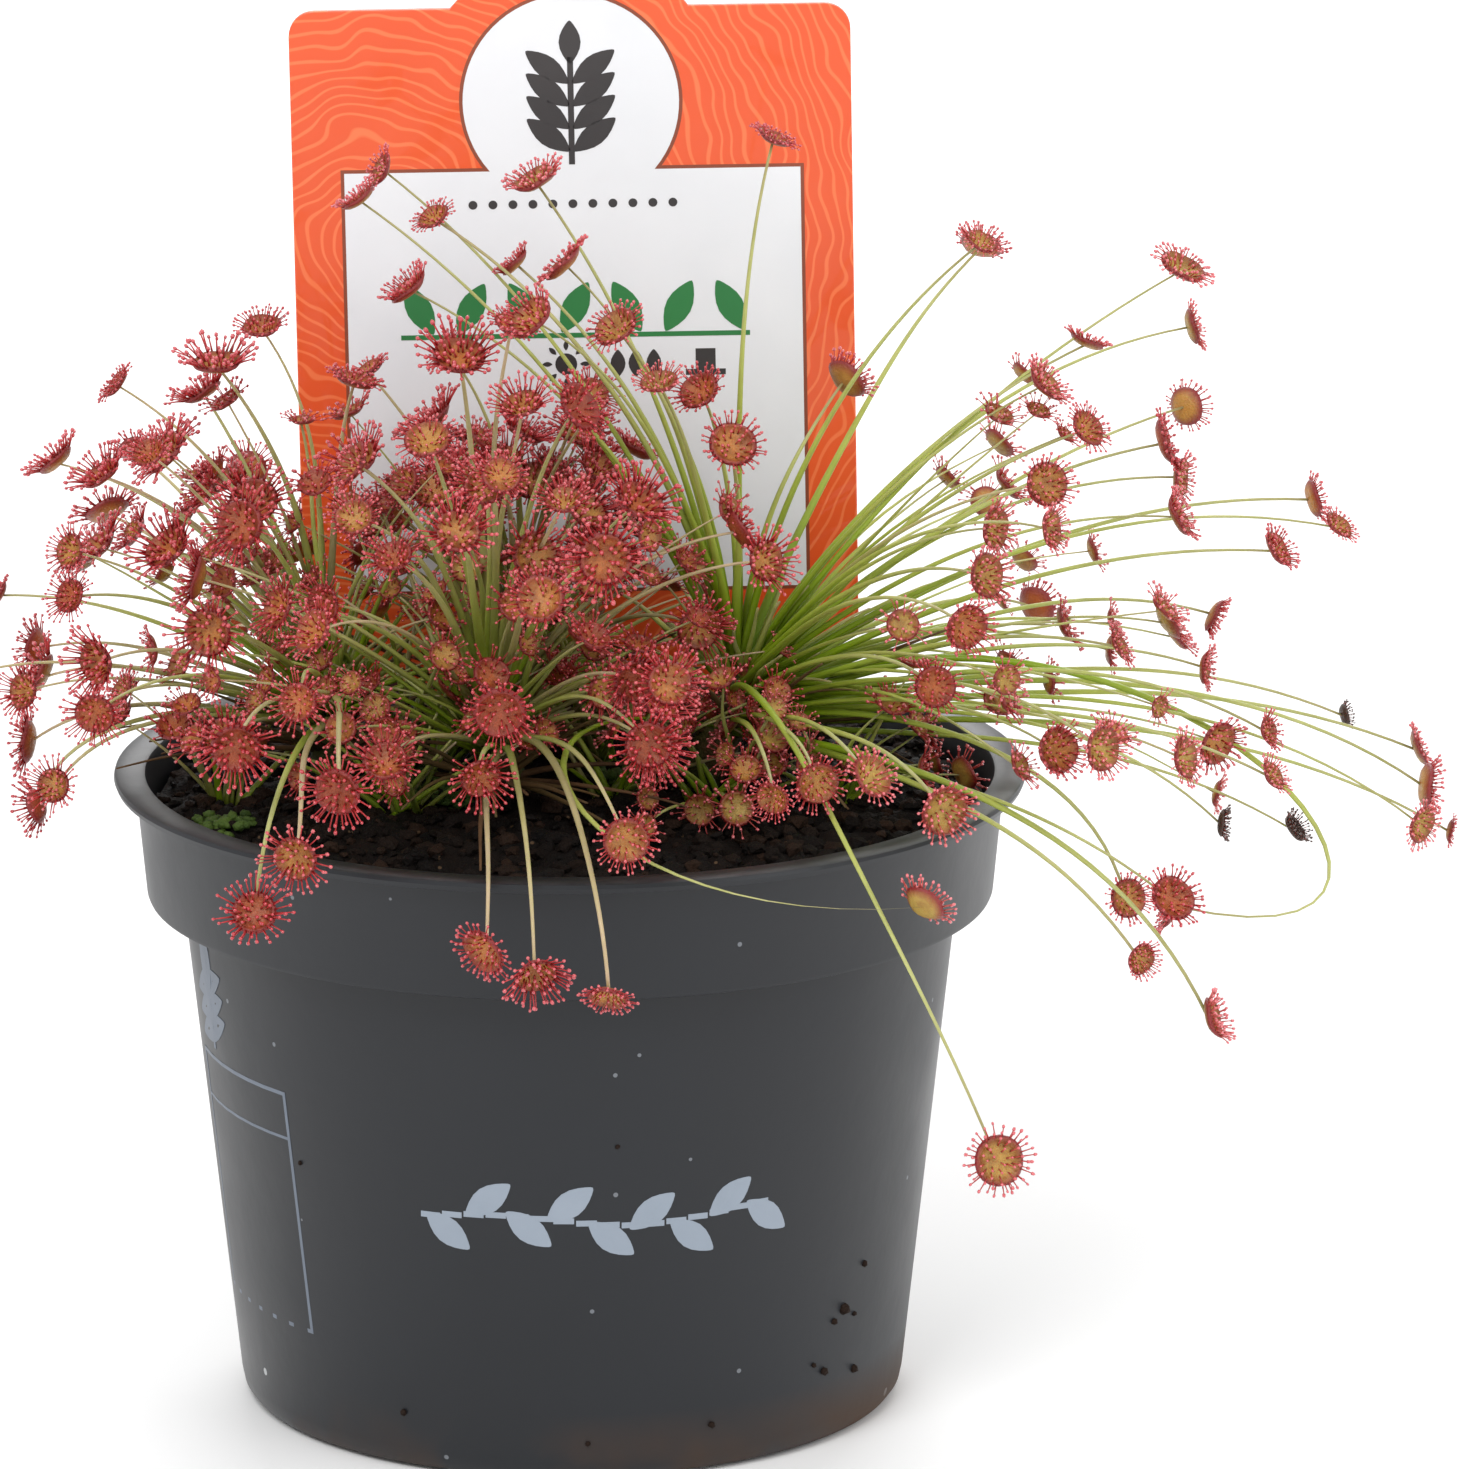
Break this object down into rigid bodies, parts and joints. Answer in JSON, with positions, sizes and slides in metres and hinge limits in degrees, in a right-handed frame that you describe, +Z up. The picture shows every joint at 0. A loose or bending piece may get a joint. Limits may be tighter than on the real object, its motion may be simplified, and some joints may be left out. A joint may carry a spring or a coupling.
{
  "type": "potted sundew plant",
  "caption": "Potted carnivorous sundew: rosettes of long petioles ending in sticky round traps, in peat in a low round nursery pot with a stick-in label",
  "frame": {"origin": "middle of the pot's base, on the flat boss that the pot rests on", "axes": "+Z up, +X to the right of the side that the label faces, +Y from that side to the back"},
  "size_m": [0.1494, 0.1022, 0.1402],
  "materials": {
    "pot": "satin slate grey plastic with small water marks",
    "peat": null,
    "label": "printed glossy plastic card",
    "leaf": null
  },
  "bodies": {
    "root": {"pot": "pot", "peat": "peat", "label": "label", "rosette_right": "leaf", "rosette_middle": "leaf", "rosette_left": "leaf", "rosette_back": "leaf"}
  },
  "joints": []
}
